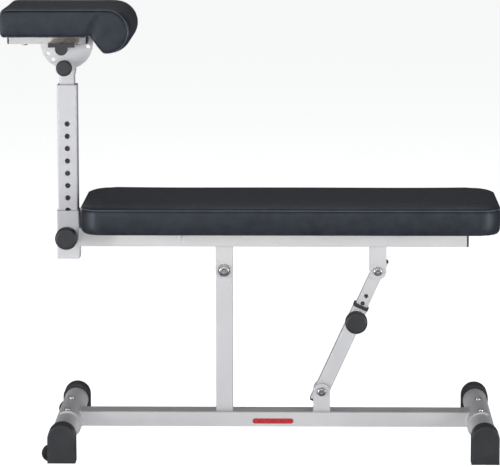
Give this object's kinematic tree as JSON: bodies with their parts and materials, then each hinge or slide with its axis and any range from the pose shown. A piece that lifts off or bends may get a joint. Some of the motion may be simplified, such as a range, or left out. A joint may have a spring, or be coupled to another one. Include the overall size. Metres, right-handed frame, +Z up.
{
  "type": "adjustable weight bench",
  "caption": "Flat exercise bench on a tubular base: the long pad tilts on a telescopic pinned strut, and a sliding post at one end carries an arm-curl pad that tilts on an index disc.",
  "frame": {"origin": "on the floor under the middle of the whole bench", "axes": "+Z up, +X along the seat from the arm pad towards the free end, +Y to the right of a person who sits facing the arm pad"},
  "size_m": [0.993, 0.43, 0.894],
  "materials": {
    "frame_paint": "silver-grey powder coat, satin",
    "black_plastic": "moulded black plastic, fine grain",
    "black_vinyl": "black upholstery vinyl, fine grain",
    "zinc_steel": "zinc plated",
    "spring_steel": "spring steel",
    "plywood": "bare plywood",
    "wheel_rubber": "solid rubber tread",
    "red_enamel": "blank red plate"
  },
  "bodies": {
    "base": {"base_beam": "frame_paint", "head_foot_tube": "frame_paint", "seat_foot_tube": "frame_paint", "saddle_plates": "frame_paint", "saddle_bolts": "zinc_steel", "saddle_nuts": "zinc_steel", "head_foot_caps": "black_plastic", "seat_foot_caps": "black_plastic", "wheel_axles": "zinc_steel", "support_post": "frame_paint", "support_post_bush": "zinc_steel", "strut_foot_bracket": "frame_paint", "strut_lower_bolt": "zinc_steel", "name_plate": "red_enamel"},
    "left_transport_wheel": {"left_wheel": "wheel_rubber"},
    "right_transport_wheel": {"right_wheel": "wheel_rubber"},
    "seat_frame": {"seat_rail": "frame_paint", "seat_rail_cap": "black_plastic", "post_sleeve": "frame_paint", "sleeve_pin_housing": "frame_paint", "sleeve_pin_spring": "spring_steel", "tilt_bracket": "frame_paint", "tilt_bolt": "zinc_steel", "strut_top_bracket": "frame_paint", "strut_upper_bolt": "zinc_steel", "frame_nuts": "zinc_steel", "pad_brackets": "frame_paint", "seat_pad_screws": "zinc_steel", "seat_board": "plywood", "seat_cushion": "black_vinyl"},
    "sleeve_pin": {"sleeve_pin_plunger": "zinc_steel", "sleeve_pin_knob": "black_plastic"},
    "post": {"height_post": "frame_paint", "post_bottom_plug": "black_plastic", "post_neck": "frame_paint", "head_clevis": "frame_paint", "head_pin_housing": "frame_paint", "head_pin_spring": "spring_steel"},
    "head_pin": {"head_pin_plunger": "zinc_steel", "head_pin_knob": "black_plastic"},
    "head": {"pivot_tube": "frame_paint", "pivot_collar": "frame_paint", "index_disc": "frame_paint", "cross_flats": "frame_paint", "cross_bar_plugs": "black_plastic", "head_rail": "frame_paint", "head_rail_caps": "black_plastic", "arm_pad_board": "plywood", "arm_pad_screws": "zinc_steel", "arm_pad_cushion": "black_vinyl"},
    "strut_outer": {"strut_outer_tube": "frame_paint", "strut_pivot_bush": "zinc_steel", "strut_guide_ring": "black_plastic", "strut_lower_plug": "black_plastic", "strut_pin_housing": "frame_paint", "strut_pin_spring": "spring_steel"},
    "strut_pin": {"strut_pin_plunger": "zinc_steel", "strut_pin_knob": "black_plastic"},
    "strut_inner": {"strut_inner_tube": "frame_paint", "strut_top_plug": "black_plastic"}
  },
  "joints": [
    {"name": "seat_tilt", "type": "hinge", "parent": "base", "child": "seat_frame", "pos_m": [-0.056, 0, 0.355], "axis": [0, -1, 0], "range_deg": [-10.19, 16.98]},
    {"name": "strut_swing", "type": "hinge", "parent": "base", "child": "strut_outer", "pos_m": [0.142, 0, 0.1047], "axis": [0, -1, 0], "range_deg": [-5, 8.2]},
    {"name": "strut_extension", "type": "slide", "parent": "strut_outer", "child": "strut_inner", "axis": [0.4142, 0, 0.9102], "range_m": [-0.0505, 0.0838]},
    {"name": "post_height", "type": "slide", "parent": "seat_frame", "child": "post", "axis": [0, 0, 1], "range_m": [-0.225, 0.025]},
    {"name": "arm_pad_tilt", "type": "hinge", "parent": "post", "child": "head", "pos_m": [-0.372, 0, 0.813], "axis": [0, 1, 0], "range_deg": [-60, 60]},
    {"name": "strut_pin_pull", "type": "slide", "parent": "strut_outer", "child": "strut_pin", "axis": [0, -1, 0], "range_m": [-0.008, 0], "stiffness_N_per_m": 600, "springref_m": -0.012, "deforming": ["strut_pin_spring"]},
    {"name": "sleeve_pin_pull", "type": "slide", "parent": "seat_frame", "child": "sleeve_pin", "axis": [0, -1, 0], "range_m": [-0.008, 0], "stiffness_N_per_m": 600, "springref_m": -0.012, "deforming": ["sleeve_pin_spring"]},
    {"name": "head_pin_pull", "type": "slide", "parent": "post", "child": "head_pin", "axis": [0, -1, 0], "range_m": [-0.008, 0], "stiffness_N_per_m": 600, "springref_m": -0.012, "deforming": ["head_pin_spring"]},
    {"name": "left_wheel_spin", "type": "hinge", "parent": "base", "child": "left_transport_wheel", "pos_m": [-0.396, -0.203, 0.0195], "axis": [0, 1, 0], "continuous": true},
    {"name": "right_wheel_spin", "type": "hinge", "parent": "base", "child": "right_transport_wheel", "pos_m": [-0.396, 0.203, 0.0195], "axis": [0, 1, 0], "continuous": true}
  ],
  "couplings": [
    {"joint": "strut_swing", "follows": "seat_tilt", "ratio": 0.475},
    {"joint": "strut_extension", "follows": "seat_tilt", "m_per_rad": 0.28}
  ]
}
